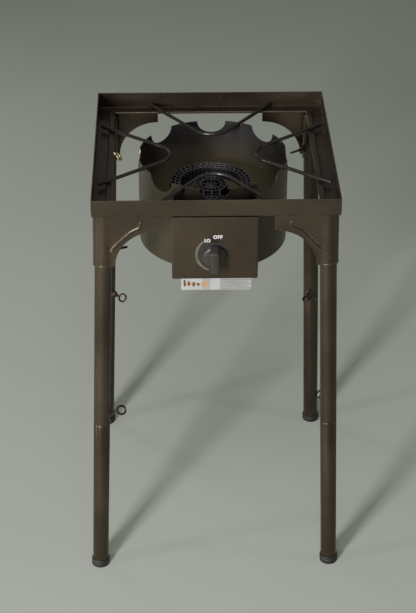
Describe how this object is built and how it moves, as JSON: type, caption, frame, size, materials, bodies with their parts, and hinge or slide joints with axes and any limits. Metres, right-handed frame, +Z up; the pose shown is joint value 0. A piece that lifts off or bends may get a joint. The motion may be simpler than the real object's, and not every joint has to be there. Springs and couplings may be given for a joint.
{
  "type": "propane burner stand",
  "caption": "Square steel propane burner stand with a windscreen drum, bent-rod trivet, ring burner, knob-operated valve and splayed two-piece legs.",
  "frame": {"origin": "on the floor under the middle of the top frame", "axes": "+Z up, -Y towards the side with the control knob, +X to the right as seen from that side"},
  "size_m": [0.4508, 0.4722, 0.745],
  "materials": {
    "bronze_paint": "satin bronze-brown baked enamel on steel sheet, tube and rod",
    "heated_paint": "the same enamel dulled by heat",
    "cast_iron": "raw sand-cast iron",
    "zinc_steel": "zinc-plated steel",
    "brass": "turned brass",
    "plated_screw": "dark yellow-plated steel wire and thread",
    "knob_plastic": "moulded phenolic",
    "foot_rubber": "moulded cap",
    "card": "laminated card, blank"
  },
  "bodies": {
    "stand": {"rail_front": "bronze_paint", "rail_right": "bronze_paint", "rail_back": "bronze_paint", "rail_left": "bronze_paint", "trivet_front": "bronze_paint", "trivet_right": "bronze_paint", "trivet_back": "bronze_paint", "trivet_left": "bronze_paint", "bracket_fl": "bronze_paint", "bracket_fr": "bronze_paint", "bracket_bl": "bronze_paint", "bracket_br": "bronze_paint", "control_box": "bronze_paint", "windscreen_drum": "heated_paint", "burner_strap": "heated_paint", "burner_casting": "cast_iron", "burner_bolt": "zinc_steel", "burner_washer": "zinc_steel", "orifice_fitting": "brass", "valve_body": "brass", "gas_inlet_fitting": "brass", "valve_screw_left": "zinc_steel", "valve_screw_right": "zinc_steel", "instruction_card": "card"},
    "shutter": {"air_shutter": "zinc_steel"},
    "push_stem": {"stem_collar": "zinc_steel"},
    "knob": {"control_knob": "knob_plastic", "valve_stem": "zinc_steel"},
    "leg_upper_fl": {"leg_upper_fl": "bronze_paint"},
    "leg_lower_fl": {"leg_lower_fl": "bronze_paint", "foot_cap_fl": "foot_rubber"},
    "socket_screw_fl": {"socket_screw_fl": "plated_screw"},
    "seam_screw_fl": {"seam_screw_fl": "plated_screw"},
    "leg_upper_fr": {"leg_upper_fr": "bronze_paint"},
    "leg_lower_fr": {"leg_lower_fr": "bronze_paint", "foot_cap_fr": "foot_rubber"},
    "socket_screw_fr": {"socket_screw_fr": "plated_screw"},
    "seam_screw_fr": {"seam_screw_fr": "plated_screw"},
    "leg_upper_bl": {"leg_upper_bl": "bronze_paint"},
    "leg_lower_bl": {"leg_lower_bl": "bronze_paint", "foot_cap_bl": "foot_rubber"},
    "socket_screw_bl": {"socket_screw_bl": "plated_screw"},
    "seam_screw_bl": {"seam_screw_bl": "plated_screw"},
    "leg_upper_br": {"leg_upper_br": "bronze_paint"},
    "leg_lower_br": {"leg_lower_br": "bronze_paint", "foot_cap_br": "foot_rubber"},
    "socket_screw_br": {"socket_screw_br": "plated_screw"},
    "seam_screw_br": {"seam_screw_br": "plated_screw"}
  },
  "joints": [
    {"name": "knob_push", "type": "slide", "parent": "stand", "child": "push_stem", "axis": [0, 1, 0], "range_m": [0, 0.003], "stiffness_N_per_m": 1500, "springref_m": -0.002},
    {"name": "knob_turn", "type": "hinge", "parent": "push_stem", "child": "knob", "pos_m": [-0.0034, -0.2072, 0.6435], "axis": [0, 1, 0], "range_deg": [-180, 0]},
    {"name": "air_shutter_turn", "type": "hinge", "parent": "stand", "child": "shutter", "pos_m": [-0.0034, -0.1471, 0.6435], "axis": [0, 1, 0], "range_deg": [0, 60]},
    {"name": "leg_upper_slide_fl", "type": "slide", "parent": "stand", "child": "leg_upper_fl", "axis": [-0.0359, -0.0499, -0.9981], "range_m": [0, 0.08]},
    {"name": "leg_lower_slide_fl", "type": "slide", "parent": "leg_upper_fl", "child": "leg_lower_fl", "axis": [-0.0359, -0.0499, -0.9981], "range_m": [0, 0.05]},
    {"name": "socket_screw_turn_fl", "type": "hinge", "parent": "stand", "child": "socket_screw_fl", "pos_m": [-0.18614, -0.18785, 0.641], "axis": [0.882, 0.4679, -0.0551], "range_deg": [0, 360]},
    {"name": "seam_screw_turn_fl", "type": "hinge", "parent": "leg_upper_fl", "child": "seam_screw_fl", "pos_m": [-0.19752, -0.20365, 0.325], "axis": [0.9502, 0.3076, -0.0496], "range_deg": [0, 360]},
    {"name": "leg_upper_slide_fr", "type": "slide", "parent": "stand", "child": "leg_upper_fr", "axis": [0.0359, -0.0499, -0.9981], "range_m": [0, 0.08]},
    {"name": "leg_lower_slide_fr", "type": "slide", "parent": "leg_upper_fr", "child": "leg_lower_fr", "axis": [0.0359, -0.0499, -0.9981], "range_m": [0, 0.05]},
    {"name": "socket_screw_turn_fr", "type": "hinge", "parent": "stand", "child": "socket_screw_fr", "pos_m": [0.18614, -0.18785, 0.641], "axis": [-0.529, 0.8464, -0.0614], "range_deg": [0, 360]},
    {"name": "seam_screw_turn_fr", "type": "hinge", "parent": "leg_upper_fr", "child": "seam_screw_fr", "pos_m": [0.19705, -0.203, 0.338], "axis": [-0.3737, 0.9256, -0.0597], "range_deg": [0, 360]},
    {"name": "leg_upper_slide_bl", "type": "slide", "parent": "stand", "child": "leg_upper_bl", "axis": [-0.0359, 0.0499, -0.9981], "range_m": [0, 0.08]},
    {"name": "leg_lower_slide_bl", "type": "slide", "parent": "leg_upper_bl", "child": "leg_lower_bl", "axis": [-0.0359, 0.0499, -0.9981], "range_m": [0, 0.05]},
    {"name": "socket_screw_turn_bl", "type": "hinge", "parent": "stand", "child": "socket_screw_bl", "pos_m": [-0.18614, 0.18785, 0.641], "axis": [0.529, -0.8464, -0.0614], "range_deg": [0, 360]},
    {"name": "seam_screw_turn_bl", "type": "hinge", "parent": "leg_upper_bl", "child": "seam_screw_bl", "pos_m": [-0.19766, 0.20385, 0.321], "axis": [0.8081, -0.5862, -0.0584], "range_deg": [0, 360]},
    {"name": "leg_upper_slide_br", "type": "slide", "parent": "stand", "child": "leg_upper_br", "axis": [0.0359, 0.0499, -0.9981], "range_m": [0, 0.08]},
    {"name": "leg_lower_slide_br", "type": "slide", "parent": "leg_upper_br", "child": "leg_lower_br", "axis": [0.0359, 0.0499, -0.9981], "range_m": [0, 0.05]},
    {"name": "socket_screw_turn_br", "type": "hinge", "parent": "stand", "child": "socket_screw_br", "pos_m": [0.18614, 0.18785, 0.641], "axis": [-0.882, -0.4679, -0.0551], "range_deg": [0, 360]},
    {"name": "seam_screw_turn_br", "type": "hinge", "parent": "leg_upper_br", "child": "seam_screw_br", "pos_m": [0.19759, 0.20375, 0.323], "axis": [-0.2915, -0.9548, -0.0582], "range_deg": [0, 360]}
  ]
}
